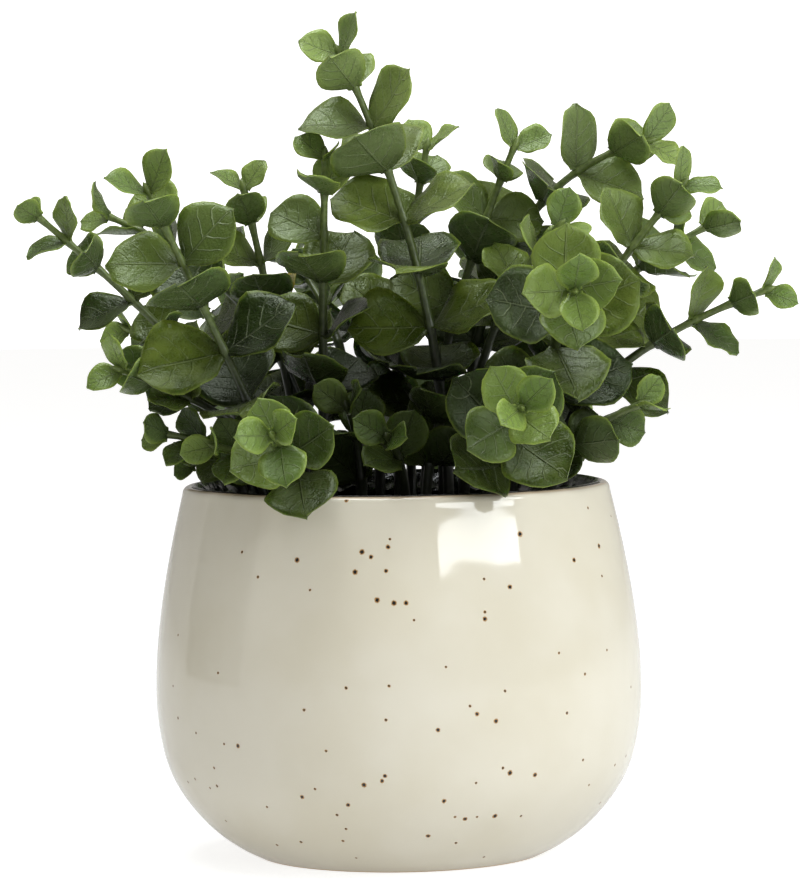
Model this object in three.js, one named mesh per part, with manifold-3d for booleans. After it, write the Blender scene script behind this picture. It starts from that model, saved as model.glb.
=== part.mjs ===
// A potted eucalyptus: bent sprigs of round leaves in crossed pairs, standing in the dark filling
// of a glazed, round-bellied pot with a thin film between the filling and the wall.
// Millimetres, +Z up. The origin is the middle of the pot's flat underside and -Y is the front.
import * as THREE from 'three';
import { mergeVertices } from 'three/addons/utils/BufferGeometryUtils.js';
import Module from 'manifold-3d';

// The pot, its film and its filling.
const POT_HIGH = 114;
const POT_WALL = 4.3;
const POT_FLOOR = 6;
const POT_SIDES = 28;
const LIP_STEPS = 3;
const LIP_Z = POT_HIGH - POT_WALL / 2;
// Radius and height up the outside, from the edge of the flat foot to where the lip starts to round.
const POT_OUTSIDE = [
  [44.5, 0], [51, 3.4], [59, 9.5], [67, 19], [72, 29.5],
  [74.6, 44], [74.6, 60], [72.8, 77], [69.6, 95], [65.8, LIP_Z],
];
const FIT_GAP = 0.3;
const FILM_THICK = 0.7;
const FILM_TOP = POT_HIGH - 4;
const FILLING_TOP = POT_HIGH - 8;
const HOLE_DEEP = 18;
const HOLE_SIDES = 4;
const HOLE_GAP = 0.35;

// The stems.
const STEM_SIDES = 4;
const STEM_ROOT = 1.6;
const STEM_TIP = 0.9;
const BUD_LONG = 3.5;
const BUD_END = 0.3;
const RING_BELOW = 0.9;

// The leaves. They are set in pairs from the tip of a stem downwards, each pair across the one above.
const TIP_GAP = 11;
const GAP_GROWTH = 1.6;
const MOST_GAP = 16.5;
const BLADE_THICK = 0.7;
const BLADE_SIDES = 6;
const CORNER_OUT = 1.08;
// A blade's half width is a half wave of its length: the skew sets it widest beyond the middle, and
// the power rounds it out.
const BLADE_SKEW = 1.04;
const BLADE_ROUND = 0.5;
const ROOT_OUT = 0.6;
const YOUNG_PAIRS = 3;
const YOUNG_SHORTER = 0.46;
const OLD_WIDTH = 1.04;
const YOUNG_NARROWER = 0.12;
const TIP_SPREAD = 48;
const SPREAD_GROWTH = 7;
const MOST_SPREAD = 80;
const LEAST_SPREAD = 22;
// Leaves turn their faces outwards by up to this, from a line that stands behind the plant's middle.
const MOST_FACING = 48;
const FACING_SPREAD = 0.35;
const FACING_BACK = 45;
const FACING_RISE = 25;
// How much each measure of a leaf varies, and the ratio that scatters it evenly over the leaves.
const VARIES = {
  round: [16, 0.618034],
  spread: [14, 0.7548777],
  long: [0.1, 0.5698403],
  cup: [0.2, 0.381966],
  arch: [0.3, 0.8191725],
  facing: [0.7, 0.4450419],
};
const CUP = 0.22;
const ARCH = 0.1;
const FACING = 0.9;

// What a leaf keeps clear of.
const LEAF_CLEAR = 2;
const KIN_CLEAR = 1.2;
const STEM_CLEAR = 3;
const SPINE_STEPS = 72;
const FEELER_RINGS = 4;
const FEELERS_PER_SIDE = 3;
const MOUTH = 58;
const RIM = 65.5;
const OVER_FILLING = 3;
const OVER_RIM = 1.5;
const HANG_SLOPE = 0.35;
// Tried in turn for each leaf until it lies clear: degrees of spread, degrees round the stem, size.
const TRIES = [
  [0, 0, 1], [-12, 0, 1], [12, 0, 1], [0, 16, 1], [0, -16, 1], [-22, 8, 0.92],
  [14, -12, 0.88], [-30, 0, 0.85], [-36, 14, 0.75], [-36, -14, 0.7], [10, 24, 0.7], [-40, 0, 0.6],
];

// Each sprig: its name, where it stands in the filling, where its stem ends, how high it rises before
// it bends over, how far its pairs are turned about the stem in degrees, its longest leaf, and how
// much of its foot is bare.
const SPRIG_LIST = [
  ['tallest', [16, -20], [-15, -20, 245], 177, 8, 24, 28],
  ['left_upper', [-30, -27], [-72, -48, 204], 111, 0, 25, 28],
  ['left_inner', [-22, -17], [-20, -22, 214], 160, 25, 21, 24],
  ['front_right_high', [47, -26], [52, -88, 174], 178, 80, 24, 26],
  ['front_right_low', [32, -43], [36, -98, 141], 134, 135, 23, 14],
  ['front_left_low', [-26, -41], [-35, -92, 134], 120, 170, 22, 14],
  ['right_upper', [35, -8], [88, -14, 204], 142, 10, 22, 26],
  ['far_right', [45, -14], [113, -16, 172], 148, 0, 19, 26],
  ['far_left', [-37, -4], [-108, -6, 197], 136, 90, 18, 36],
  ['right_arching', [21, 18], [79, 12, 218], 205, 5, 24, 40],
  ['right_inner', [9, 8], [38, 8, 217], 150, 0, 22, 28],
  ['left_behind', [-27, 4], [-46, 14, 205], 119, 0, 20, 24],
  ['right_middle', [21, 0], [50, -22, 192], 160, 60, 22, 22],
  ['right_low', [41, -34], [73, -42, 139], 126, 60, 19, 11],
  ['front_low', [3, -42], [-2, -57, 131], 123, 40, 21, 10],
  ['left_low', [-39, -20], [-69, -22, 131], 126, 60, 19, 11],
  ['left_low_front', [-36, -32], [-53, -52, 129], 124, 20, 19, 11],
  ['left_middle', [-39, 6], [-82, 10, 162], 140, 20, 18, 22],
  ['left_back', [-25, 16], [-89, 30, 197], 170, 50, 21, 30],
  ['right_back', [36, 14], [97, 18, 191], 160, 60, 23, 26],
  ['middle_back', [1, 22], [11, 26, 217], 170, 20, 21, 30],
  ['left_side', [-33, -10], [-82, -30, 151], 132, 0, 21, 16],
  ['left_rim', [-46, -6], [-62, -2, 121], 122, 30, 16, 11],
  ['slender_back', [-11, 22], [-32, 56, 182], 160, 0, 15, 30],
  ['front_middle', [9, -32], [18, -38, 143], 130, 45, 22, 12],
  ['front_middle_left', [-10, -32], [-14, -42, 139], 128, 30, 22, 12],
  ['back_left', [-33, 27], [-66, 70, 169], 150, 30, 22, 26],
  ['back_left_inner', [-5, 36], [-21, 92, 174], 160, 60, 23, 10],
  ['back_right_inner', [15, 34], [28, 80, 184], 165, 20, 23, 10],
  ['back_right', [29, 26], [67, 70, 167], 150, 50, 22, 26],
  ['back_left_low', [-20, 34], [-50, 84, 136], 128, 10, 21, 8],
  ['back_low', [5, 46], [2, 100, 134], 130, 40, 21, 8],
  ['back_right_low', [35, 36], [55, 86, 134], 128, 70, 21, 16],
];
const SPRIGS = SPRIG_LIST.map(([name, root, tip, elbow, turn, leaf, bare]) => (
  { name, root, tip, elbow, turn, leaf, bare }
));

const wasm = await Module();
wasm.setup();

const GLAZE = { color: 0xe6decb, roughness: 0.15 };
const FILM = { color: 0x17171a, roughness: 0.25 };
const FILLING = { color: 0x2b231d, roughness: 0.95 };
const LEAF = { color: 0x5a7440, roughness: 0.45 };

function named(name, geometry, look, place = new THREE.Vector3()) {
  const mesh = new THREE.Mesh(geometry, new THREE.MeshStandardMaterial({ ...look, metalness: 0 }));
  mesh.name = name;
  mesh.position.copy(place);
  return mesh;
}

// A closed geometry as a solid that can be joined and cut.
function solid(geometry) {
  geometry.deleteAttribute('normal');
  geometry.deleteAttribute('uv');
  const welded = mergeVertices(geometry);
  const index = welded.index.array;
  const kept = [];
  for (let at = 0; at < index.length; at += 3) {
    const [a, b, c] = index.subarray(at, at + 3);
    if (a !== b && b !== c && c !== a) kept.push(a, b, c);
  }
  return new wasm.Manifold(new wasm.Mesh({
    numProp: 3,
    vertProperties: welded.attributes.position.array,
    triVerts: Uint32Array.from(kept),
  }));
}

function geometryOf(body) {
  const { vertProperties, triVerts } = body.getMesh();
  const geometry = new THREE.BufferGeometry();
  geometry.setAttribute('position', new THREE.BufferAttribute(vertProperties, 3));
  geometry.setIndex(new THREE.BufferAttribute(triVerts, 1));
  geometry.computeVertexNormals();
  return geometry;
}

// ---- The pot, its film and its filling ----

const outside = new THREE.SplineCurve(POT_OUTSIDE.map(([r, z]) => new THREE.Vector2(r, z)));
const RINGS = POT_OUTSIDE.length - 1;

// The outside moved inwards by a distance, ring by ring from the floor up, cut off at a height.
function inwards(distance, top = Infinity, every = 1) {
  const points = [];
  for (let ring = 1; ring <= RINGS; ring += every) {
    const at = outside.getPoint(ring / RINGS);
    const along = outside.getTangent(ring / RINGS);
    const point = new THREE.Vector2(at.x - along.y * distance, at.y + along.x * distance);
    if (point.y > top) {
      const below = points.at(-1);
      points.push(below.clone().lerp(point, (top - below.y) / (point.y - below.y)));
      break;
    }
    points.push(point);
  }
  return points;
}

function turnedOnAxis(profile) {
  const geometry = new THREE.LatheGeometry(profile, POT_SIDES);
  return geometry.rotateX(Math.PI / 2);
}

function onAxis(z) {
  return new THREE.Vector2(0, z);
}

function potProfile() {
  const lip = [];
  for (let step = 1; step < LIP_STEPS; step += 1) {
    const angle = (Math.PI * step) / LIP_STEPS;
    const across = Math.cos(angle) * (POT_WALL / 2);
    const up = Math.sin(angle) * (POT_WALL / 2);
    lip.push(new THREE.Vector2(POT_OUTSIDE[RINGS][0] - POT_WALL / 2 + across, LIP_Z + up));
  }
  return [
    onAxis(0),
    ...outside.getPoints(RINGS),
    ...lip,
    ...inwards(POT_WALL, Infinity, 2).reverse(),
    onAxis(POT_FLOOR),
  ];
}

function filmProfile() {
  const outer = POT_WALL + FIT_GAP;
  return [
    onAxis(POT_FLOOR + FIT_GAP),
    ...inwards(outer, FILM_TOP, 2),
    ...inwards(outer + FILM_THICK, FILM_TOP, 2).reverse(),
    onAxis(POT_FLOOR + FIT_GAP + FILM_THICK),
  ];
}

function fillingProfile() {
  const outer = POT_WALL + FIT_GAP + FILM_THICK + FIT_GAP;
  return [
    onAxis(POT_FLOOR + FIT_GAP + FILM_THICK + FIT_GAP),
    ...inwards(outer, FILLING_TOP, 2),
    onAxis(FILLING_TOP),
  ];
}

// The filling has a plain four-sided hole for the foot of each stem.
function filling() {
  let body = solid(turnedOnAxis(fillingProfile()));
  const radius = (STEM_ROOT + HOLE_GAP) / Math.cos(Math.PI / HOLE_SIDES);
  for (const { root } of SPRIGS) {
    const hole = new THREE.CylinderGeometry(radius, radius, 2 * HOLE_DEEP, HOLE_SIDES);
    hole.rotateX(Math.PI / 2).translate(root[0], root[1], FILLING_TOP);
    body = body.subtract(solid(hole));
  }
  return geometryOf(body);
}

// ---- The stems ----

function curveOf({ root, tip, elbow }) {
  return new THREE.QuadraticBezierCurve3(
    new THREE.Vector3(root[0], root[1], FILLING_TOP),
    new THREE.Vector3(root[0], root[1], elbow),
    new THREE.Vector3(...tip),
  );
}

// The frame of an upright stem, carried to another direction by the shortest turn.
function frameAlong(axis) {
  const turn = new THREE.Quaternion().setFromUnitVectors(new THREE.Vector3(0, 0, 1), axis);
  return {
    axis,
    side: new THREE.Vector3(1, 0, 0).applyQuaternion(turn),
    front: new THREE.Vector3(0, -1, 0).applyQuaternion(turn),
  };
}

function stemRadius(t) {
  return THREE.MathUtils.lerp(STEM_ROOT, STEM_TIP, t);
}

// Where a stem's rings lie: down its hole, at the filling, just below each pair and at its bud's end.
function stations({ root, curve, places }) {
  const list = [];
  const foot = new THREE.Vector3(root[0], root[1], FILLING_TOP - HOLE_DEEP + FIT_GAP);
  list.push({ at: foot, axis: new THREE.Vector3(0, 0, 1), radius: STEM_ROOT });
  const below = RING_BELOW / curve.getLength();
  const lower = places.slice(1).map((t) => t - below);
  for (const t of [0, ...lower.toReversed(), 1]) {
    list.push({ at: curve.getPoint(t), axis: curve.getTangent(t), radius: stemRadius(t) });
  }
  const { at, axis } = list.at(-1);
  list.push({ at: at.clone().addScaledVector(axis, BUD_LONG), axis, radius: BUD_END });
  return list;
}

// A closed cylinder with its rings moved to the stations, turned so that leaves leave by its flats.
function stem(sprig) {
  const list = stations(sprig).map((station) => ({ ...station, ...frameAlong(station.axis) }));
  const turn = -THREE.MathUtils.degToRad(sprig.turn + 180 / STEM_SIDES);
  const geometry = new THREE.CylinderGeometry(1, 1, 1, STEM_SIDES, list.length - 1, false, turn);
  const { position } = geometry.attributes;
  const point = new THREE.Vector3();
  for (let index = 0; index < position.count; index += 1) {
    const station = list[Math.round((position.getY(index) + 0.5) * (list.length - 1))];
    point.copy(station.at);
    point.addScaledVector(station.side, position.getX(index) * station.radius);
    point.addScaledVector(station.front, position.getZ(index) * station.radius);
    position.setXYZ(index, point.x, point.y, point.z);
  }
  return geometry;
}

// ---- The leaves ----

// A leaf's own difference in one measure: the same for the same leaf number every time.
function varied(measure, number) {
  const [amount, ratio] = VARIES[measure];
  return amount * (((number * ratio) % 1) - 0.5);
}

// How wide a blade is at a fraction of its length, as a share of its half width.
function halfWidth(u) {
  return u <= 0 || u >= 1 ? 0 : Math.sin(Math.PI * u ** BLADE_SKEW) ** BLADE_ROUND;
}

// A point of the blade's middle surface, cupped across and arched along its length.
function bladePoint(leaf, u, v) {
  const half = leaf.wide / 2;
  const y = half * halfWidth(u) * v;
  const z = leaf.long * leaf.arch * u * u + (leaf.cup * y * y) / half;
  return leaf.at.clone()
    .addScaledVector(leaf.along, leaf.long * u)
    .addScaledVector(leaf.across, y)
    .addScaledVector(leaf.normal, z);
}

// The corners of the faceted blade, from its root round to its root again. Those at its sides
// stand a little outside the curved outline, so that the facets cover as much as the curve.
function corners(leaf) {
  const list = [];
  for (let corner = 0; corner <= BLADE_SIDES; corner += 1) {
    const u = (1 - Math.cos((2 * Math.PI * corner) / BLADE_SIDES)) / 2;
    list.push(bladePoint(leaf, u, corner < BLADE_SIDES / 2 ? CORNER_OUT : -CORNER_OUT));
  }
  return list;
}

// Points spread over the facets of the blade, to feel for what is near.
function feelers(leaf) {
  const hub = bladePoint(leaf, 0.5, 0);
  const outline = corners(leaf);
  const list = [];
  for (let ring = 1; ring <= FEELER_RINGS; ring += 1) {
    for (let corner = 0; corner < BLADE_SIDES; corner += 1) {
      for (let step = 0; step < FEELERS_PER_SIDE; step += 1) {
        const edge = outline[corner].clone().lerp(outline[corner + 1], step / FEELERS_PER_SIDE);
        list.push(hub.clone().lerp(edge, ring / FEELER_RINGS));
      }
    }
  }
  return list;
}

function turnToFace(leaf, number) {
  const { x, y } = leaf.at;
  const outwards = new THREE.Vector3(FACING_SPREAD * x, y - FACING_BACK, FACING_RISE).normalize();
  outwards.addScaledVector(leaf.along, -outwards.dot(leaf.along));
  const sine = leaf.normal.clone().cross(outwards).dot(leaf.along);
  let angle = THREE.MathUtils.radToDeg(Math.atan2(sine, leaf.normal.dot(outwards)));
  if (angle > 90) angle -= 180;
  if (angle < -90) angle += 180;
  const share = outwards.length() * (FACING + varied('facing', number));
  const turn = share * THREE.MathUtils.clamp(angle, -MOST_FACING, MOST_FACING);
  leaf.normal.applyAxisAngle(leaf.along, THREE.MathUtils.degToRad(turn));
}

// One leaf of a pair: number counts all leaves, pair counts down from the tip.
function leafAt(sprig, t, pair, opposite, number, [spreadMore, roundMore, size]) {
  const { axis, side, front } = frameAlong(sprig.curve.getTangent(t));
  const round = sprig.turn + 90 * pair + 180 * opposite + varied('round', number) + roundMore;
  const angle = THREE.MathUtils.degToRad(round);
  const out = side.multiplyScalar(Math.cos(angle)).addScaledVector(front, Math.sin(angle));
  const young = Math.max(0, 1 - pair / YOUNG_PAIRS);
  const spread = Math.min(MOST_SPREAD, TIP_SPREAD + SPREAD_GROWTH * pair)
    + varied('spread', number) + spreadMore;
  const opened = THREE.MathUtils.degToRad(Math.max(LEAST_SPREAD, spread));
  const long = sprig.leaf * (1 - YOUNG_SHORTER * young) * size * (1 + varied('long', number));
  const leaf = {
    sprig,
    pair,
    long,
    wide: long * (OLD_WIDTH - YOUNG_NARROWER * young),
    cup: CUP + varied('cup', number),
    arch: ARCH + varied('arch', number),
    at: sprig.curve.getPoint(t).addScaledVector(out, ROOT_OUT * stemRadius(t)),
    along: axis.clone().multiplyScalar(Math.cos(opened)).addScaledVector(out, Math.sin(opened)),
    normal: axis.clone().multiplyScalar(Math.sin(opened)).addScaledVector(out, -Math.cos(opened)),
  };
  turnToFace(leaf, number);
  leaf.across = leaf.normal.clone().cross(leaf.along);
  leaf.hub = bladePoint(leaf, 0.5, 0);
  leaf.feelers = feelers(leaf);
  return leaf;
}

// The lowest that a leaf may hang at a distance from the pot's axis.
function lowest(radius) {
  if (radius < MOUTH) return FILLING_TOP + OVER_FILLING;
  if (radius < RIM + OVER_RIM) return POT_HIGH + OVER_RIM;
  return POT_HIGH + OVER_RIM - (radius - RIM - OVER_RIM) / HANG_SLOPE;
}

function anyWithin(points, others, distance) {
  const square = distance * distance;
  return points.some((point) => others.some((other) => point.distanceToSquared(other) < square));
}

function isClear(leaf, grown) {
  if (leaf.feelers.some((point) => point.z < lowest(Math.hypot(point.x, point.y)))) return false;
  for (const sprig of SPRIGS) {
    const near = sprig.spine.filter((point) => point.distanceTo(leaf.hub) < leaf.long);
    if (sprig !== leaf.sprig && anyWithin(leaf.feelers, near, STEM_CLEAR)) return false;
  }
  return grown.every((other) => {
    const kin = other.sprig === leaf.sprig;
    if (kin && other.pair === leaf.pair) return true;
    if (other.hub.distanceTo(leaf.hub) > other.long + leaf.long) return true;
    return !anyWithin(leaf.feelers, other.feelers, kin ? KIN_CLEAR : LEAF_CLEAR);
  });
}

// Where the pairs of a sprig sit on its curve, from the tip down to the bare foot of the stem.
function pairPlaces({ curve, bare }) {
  const places = [];
  let distance = curve.getLength();
  while (distance > bare) {
    places.push(curve.getUtoTmapping(0, distance));
    distance -= Math.min(MOST_GAP, TIP_GAP + GAP_GROWTH * (places.length - 1));
  }
  return places;
}

function growLeaves() {
  const grown = [];
  let number = 0;
  for (const sprig of SPRIGS) {
    sprig.curve = curveOf(sprig);
    sprig.spine = sprig.curve.getPoints(SPINE_STEPS);
    sprig.places = pairPlaces(sprig);
  }
  for (const sprig of SPRIGS) {
    sprig.places.forEach((t, pair) => {
      for (const opposite of [0, 1]) {
        number += 1;
        for (const change of TRIES) {
          const leaf = leafAt(sprig, t, pair, opposite, number, change);
          if (isClear(leaf, grown)) {
            grown.push(leaf);
            break;
          }
        }
      }
    });
  }
  return grown;
}

// A flat round cylinder bent to the blade: its rim follows the outline and its middles are the hub.
function blade(leaf) {
  const geometry = new THREE.CylinderGeometry(1, 1, BLADE_THICK, BLADE_SIDES);
  const { position } = geometry.attributes;
  for (let index = 0; index < position.count; index += 1) {
    const [x, y, z] = [position.getX(index), position.getY(index), position.getZ(index)];
    const v = Math.abs(x) < 1e-6 ? 0 : -CORNER_OUT * Math.sign(x);
    const point = bladePoint(leaf, (1 - z) / 2, v).addScaledVector(leaf.normal, y);
    position.setXYZ(index, point.x, point.y, point.z);
  }
  return geometry;
}

// ---- The whole plant ----

const plant = new THREE.Group();
plant.add(named('pot', turnedOnAxis(potProfile()), GLAZE));
plant.add(named('film_liner', turnedOnAxis(filmProfile()), FILM));
plant.add(named('filling', filling(), FILLING));

const leaves = growLeaves();
for (const sprig of SPRIGS) {
  const own = leaves.filter((leaf) => leaf.sprig === sprig);
  const pieces = [stem(sprig), ...own.map(blade)].map(solid);
  const body = wasm.Manifold.union(pieces);
  const place = new THREE.Vector3(sprig.root[0], sprig.root[1], FILLING_TOP);
  const geometry = geometryOf(body).translate(-place.x, -place.y, -place.z);
  plant.add(named(`sprig_${sprig.name}`, geometry, LEAF, place));
}

export default plant;
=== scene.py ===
"""A potted eucalyptus: sprigs of round, veined leaves in a speckled, glazed pot with a black film.

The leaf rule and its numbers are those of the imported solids, so that every fine leaf lies where
its plain one does. Lengths are in millimetres unless a comment says otherwise.
"""
import math

import bpy
import numpy as np
from mathutils import Matrix, Quaternion, Vector, noise


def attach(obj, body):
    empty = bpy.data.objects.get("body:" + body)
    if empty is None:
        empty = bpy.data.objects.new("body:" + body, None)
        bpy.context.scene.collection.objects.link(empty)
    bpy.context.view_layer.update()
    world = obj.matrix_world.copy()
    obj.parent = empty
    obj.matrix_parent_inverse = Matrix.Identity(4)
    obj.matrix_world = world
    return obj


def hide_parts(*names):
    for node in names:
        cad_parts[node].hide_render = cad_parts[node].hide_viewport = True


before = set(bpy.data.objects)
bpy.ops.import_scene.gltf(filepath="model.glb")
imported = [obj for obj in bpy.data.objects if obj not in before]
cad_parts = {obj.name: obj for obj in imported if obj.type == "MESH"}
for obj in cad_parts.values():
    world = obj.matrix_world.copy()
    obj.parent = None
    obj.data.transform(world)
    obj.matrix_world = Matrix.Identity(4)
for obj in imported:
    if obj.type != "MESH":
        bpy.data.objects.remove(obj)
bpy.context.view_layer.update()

MM = 0.001
RNG = np.random.default_rng(7)
SPRIG_SEED = 11

# The camera. The photograph is 800 by 879 pixels.
PHOTO_WIDE = 800
PHOTO_HIGH = 879
FOCAL_PIXELS = 4227
SENSOR = 36
CAMERA_PLACE = (1.4, -1300, 198)
CAMERA_DOWN = 3.114
CAMERA_ROLL = 0.8

# The pot, its film and its filling.
POT_HIGH = 114
POT_WALL = 4.3
POT_FLOOR = 6
LIP_Z = POT_HIGH - POT_WALL / 2
# Radius and height up the outside, from the edge of the flat foot to where the lip starts to round.
POT_OUTSIDE = [
    (44.5, 0), (51, 3.4), (59, 9.5), (67, 19), (72, 29.5),
    (74.6, 44), (74.6, 60), (72.8, 77), (69.6, 95), (65.8, LIP_Z),
]
LIP_MIDDLE = POT_OUTSIDE[-1][0] - POT_WALL / 2
POT_ROUND = 180
POT_RINGS = 60
LIP_RINGS = 10
# The radii of the flat rings of foot and floor, and between which shares of the outside's curve the
# inside of the wall follows it.
FLAT_RINGS = (0.5, 20, 40)
INSIDE_SHARES = (0.97, 0.14)
FIT_GAP = 0.3
FILM_THICK = 0.7
FILLING_TOP = POT_HIGH - 8
HOLE_DEEP = 18
# The film's top edge, by radius from the lip's middle line and by height from the pot's top: drawn
# up on to the lip, and then folded back down inside.
FILM_ON_LIP = [(-2.15, -2.15), (-1.85, -0.85), (-1.05, -0.05), (-0.75, 0.15), (-1.25, 0.25)]
FILM_FOLDED = [(-2.45, -1.2), (-3.45, -2.8), (-4.45, -4), (-5.65, -4.6), (-7.05, -5), (-8.65, -5.6)]
# The film hangs a little off the wall, and comes loose over a few rings before its folded end.
FILM_OFF = 0.1
FILM_SHARES = (0.14, 0.97)
FILM_RINGS = 26
FILM_ROUND = 240
FILM_SHEET = 0.15
LOOSE_RINGS = 4
# Each size of crumple: its waves in a millimetre, its seed and its share of the depth.
CRUMPLES = ((0.17, 3, 1), (0.5, 9, 0.6))
FOLD_DEEP = 3.8
FOLD_RISE = 2.8
FOLD_WAVES = 0.22
FOLD_SINK = 0.1
OVER_CRUMBS = 0.9
FILLING_SHARES = (0.15, 0.92)
FILLING_RINGS = 20
TOP_SHARES = (0.995, 0.01)
TOP_RINGS = 46
FILLING_ROUND = 170
# Each size of crumb: its waves in a millimetre and its height. All are cut off at CRUMB_HIGH.
CRUMBS = ((0.12, 0.6), (0.45, 0.7))
CRUMB_HIGH = 0.7

# The stems.
STEM_ROUND = 10
STEM_STEP = 2.2
STEM_ROOT = 1.6
STEM_TIP = 0.9
KNOT_LONG = 1.3
KNOT_PROUD = 0.3
BUD_LONG = 3.5
# The bud's rings: their share of its length, and their width as a share of the stem's.
BUD_RINGS = ((0.35, 0.9), (0.7, 0.55), (1, 0.12))
KNOT_STEP = 0.8
STEM_RIDGES = 4
RIDGE_PROUD = 0.07

# The leaves. They are set in pairs from the tip of a stem downwards, each pair across the one above.
TIP_GAP = 11
GAP_GROWTH = 1.6
MOST_GAP = 16.5
LENGTH_STEPS = 200
BLADE_SIDES = 6
CORNER_OUT = 1.08
BLADE_SKEW = 1.04
BLADE_ROUND = 0.5
ROOT_OUT = 0.6
YOUNG_PAIRS = 3
YOUNG_SHORTER = 0.46
OLD_WIDTH = 1.04
YOUNG_NARROWER = 0.12
TIP_SPREAD = 48
SPREAD_GROWTH = 7
MOST_SPREAD = 80
LEAST_SPREAD = 22
# Leaves turn their faces outwards by up to this, from a line that stands behind the plant's middle.
MOST_FACING = 48
FACING_SPREAD = 0.35
FACING_BACK = 45
FACING_RISE = 25
# How much each measure of a leaf varies, and the ratio that scatters it evenly over the leaves.
VARIES = {
    "round": (16, 0.618034),
    "spread": (14, 0.7548777),
    "long": (0.1, 0.5698403),
    "cup": (0.2, 0.381966),
    "arch": (0.3, 0.8191725),
    "facing": (0.7, 0.4450419),
}
CUP = 0.22
ARCH = 0.1
FACING = 0.9

# What a leaf keeps clear of.
LEAF_CLEAR = 2
KIN_CLEAR = 1.2
STEM_CLEAR = 3
SPINE_STEPS = 72
FEELER_RINGS = 4
FEELERS_PER_SIDE = 3
MOUTH = 58
RIM = 65.5
OVER_FILLING = 3
OVER_RIM = 1.5
HANG_SLOPE = 0.35
# Tried in turn for each leaf until it lies clear: degrees of spread, degrees round the stem, size.
TRIES = [
    (0, 0, 1), (-12, 0, 1), (12, 0, 1), (0, 16, 1), (0, -16, 1), (-22, 8, 0.92),
    (14, -12, 0.88), (-30, 0, 0.85), (-36, 14, 0.75), (-36, -14, 0.7), (10, 24, 0.7), (-40, 0, 0.6),
]

# Each sprig: where it stands in the filling, where its stem ends, how high it rises before it
# bends over, how far its pairs are turned about the stem in degrees, its longest leaf, and how
# much of its foot is bare.
SPRIGS = {
    "tallest": ((16, -20), (-15, -20, 245), 177, 8, 24, 28),
    "left_upper": ((-30, -27), (-72, -48, 204), 111, 0, 25, 28),
    "left_inner": ((-22, -17), (-20, -22, 214), 160, 25, 21, 24),
    "front_right_high": ((47, -26), (52, -88, 174), 178, 80, 24, 26),
    "front_right_low": ((32, -43), (36, -98, 141), 134, 135, 23, 14),
    "front_left_low": ((-26, -41), (-35, -92, 134), 120, 170, 22, 14),
    "right_upper": ((35, -8), (88, -14, 204), 142, 10, 22, 26),
    "far_right": ((45, -14), (113, -16, 172), 148, 0, 19, 26),
    "far_left": ((-37, -4), (-108, -6, 197), 136, 90, 18, 36),
    "right_arching": ((21, 18), (79, 12, 218), 205, 5, 24, 40),
    "right_inner": ((9, 8), (38, 8, 217), 150, 0, 22, 28),
    "left_behind": ((-27, 4), (-46, 14, 205), 119, 0, 20, 24),
    "right_middle": ((21, 0), (50, -22, 192), 160, 60, 22, 22),
    "right_low": ((41, -34), (73, -42, 139), 126, 60, 19, 11),
    "front_low": ((3, -42), (-2, -57, 131), 123, 40, 21, 10),
    "left_low": ((-39, -20), (-69, -22, 131), 126, 60, 19, 11),
    "left_low_front": ((-36, -32), (-53, -52, 129), 124, 20, 19, 11),
    "left_middle": ((-39, 6), (-82, 10, 162), 140, 20, 18, 22),
    "left_back": ((-25, 16), (-89, 30, 197), 170, 50, 21, 30),
    "right_back": ((36, 14), (97, 18, 191), 160, 60, 23, 26),
    "middle_back": ((1, 22), (11, 26, 217), 170, 20, 21, 30),
    "left_side": ((-33, -10), (-82, -30, 151), 132, 0, 21, 16),
    "left_rim": ((-46, -6), (-62, -2, 121), 122, 30, 16, 11),
    "slender_back": ((-11, 22), (-32, 56, 182), 160, 0, 15, 30),
    "front_middle": ((9, -32), (18, -38, 143), 130, 45, 22, 12),
    "front_middle_left": ((-10, -32), (-14, -42, 139), 128, 30, 22, 12),
    "back_left": ((-33, 27), (-66, 70, 169), 150, 30, 22, 26),
    "back_left_inner": ((-5, 36), (-21, 92, 174), 160, 60, 23, 10),
    "back_right_inner": ((15, 34), (28, 80, 184), 165, 20, 23, 10),
    "back_right": ((29, 26), (67, 70, 167), 150, 50, 22, 26),
    "back_left_low": ((-20, 34), (-50, 84, 136), 128, 10, 21, 8),
    "back_low": ((5, 46), (2, 100, 134), 130, 40, 21, 8),
    "back_right_low": ((35, 36), (55, 86, 134), 128, 70, 21, 16),
}

# The fine leaf. Its outline follows the plain one, with a short stalk and a small point added.
LEAF_ROWS = 14
LEAF_ACROSS = np.array([-1, -0.75, -0.45, -0.12, 0, 0.12, 0.45, 0.75, 1])
LEAF_THICK = 0.5
EDGE_THICK = 0.2
STALK_HALF = 2.2
STALK_SHARE = 0.1
TIP_HALF = 0.12
BLADE_START = 0.03
POINT_START = 0.9
POINT_END = 1.03
MIDRIB_DEEP = 0.35
MIDRIB_HALF = 0.1
MIDRIB_FADES = 0.7
# A leaf's edges ripple with this many waves along it, a quarter wave apart from side to side.
RIPPLE = 0.09
RIPPLE_WAVES = (1, 2)
RIPPLE_STARTS = (0, 6.3)
QUARTER = 0.25
# Between which powers the width falls away towards the point.
POINTED = (0.9, 1.5)
TIP_CURL = 0.06
CURL_START = 0.75
# The side veins: how many run across the length of a leaf, how they lean and bend, how much they
# waver, and how far those of one half stand behind those of the other.
SIDE_VEINS = 4.6
VEIN_LEAN = 0.34
VEIN_BEND = 1.3
VEIN_WAVER = 0.12
VEIN_SHIFT = 0.025
# The one leaf that is turning yellow: its sprig, and its pair counted down from the tip.
OCHRE_SPRIG = "left_behind"
OCHRE_PAIR = 3
# Painted shade: leaves within this reach of the pot's axis and height over the lip are painted as dark
# as leaves get.
SHADE_REACH = 56
SHADE_HIGH = 30
SHADE_FADES = 38

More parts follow.
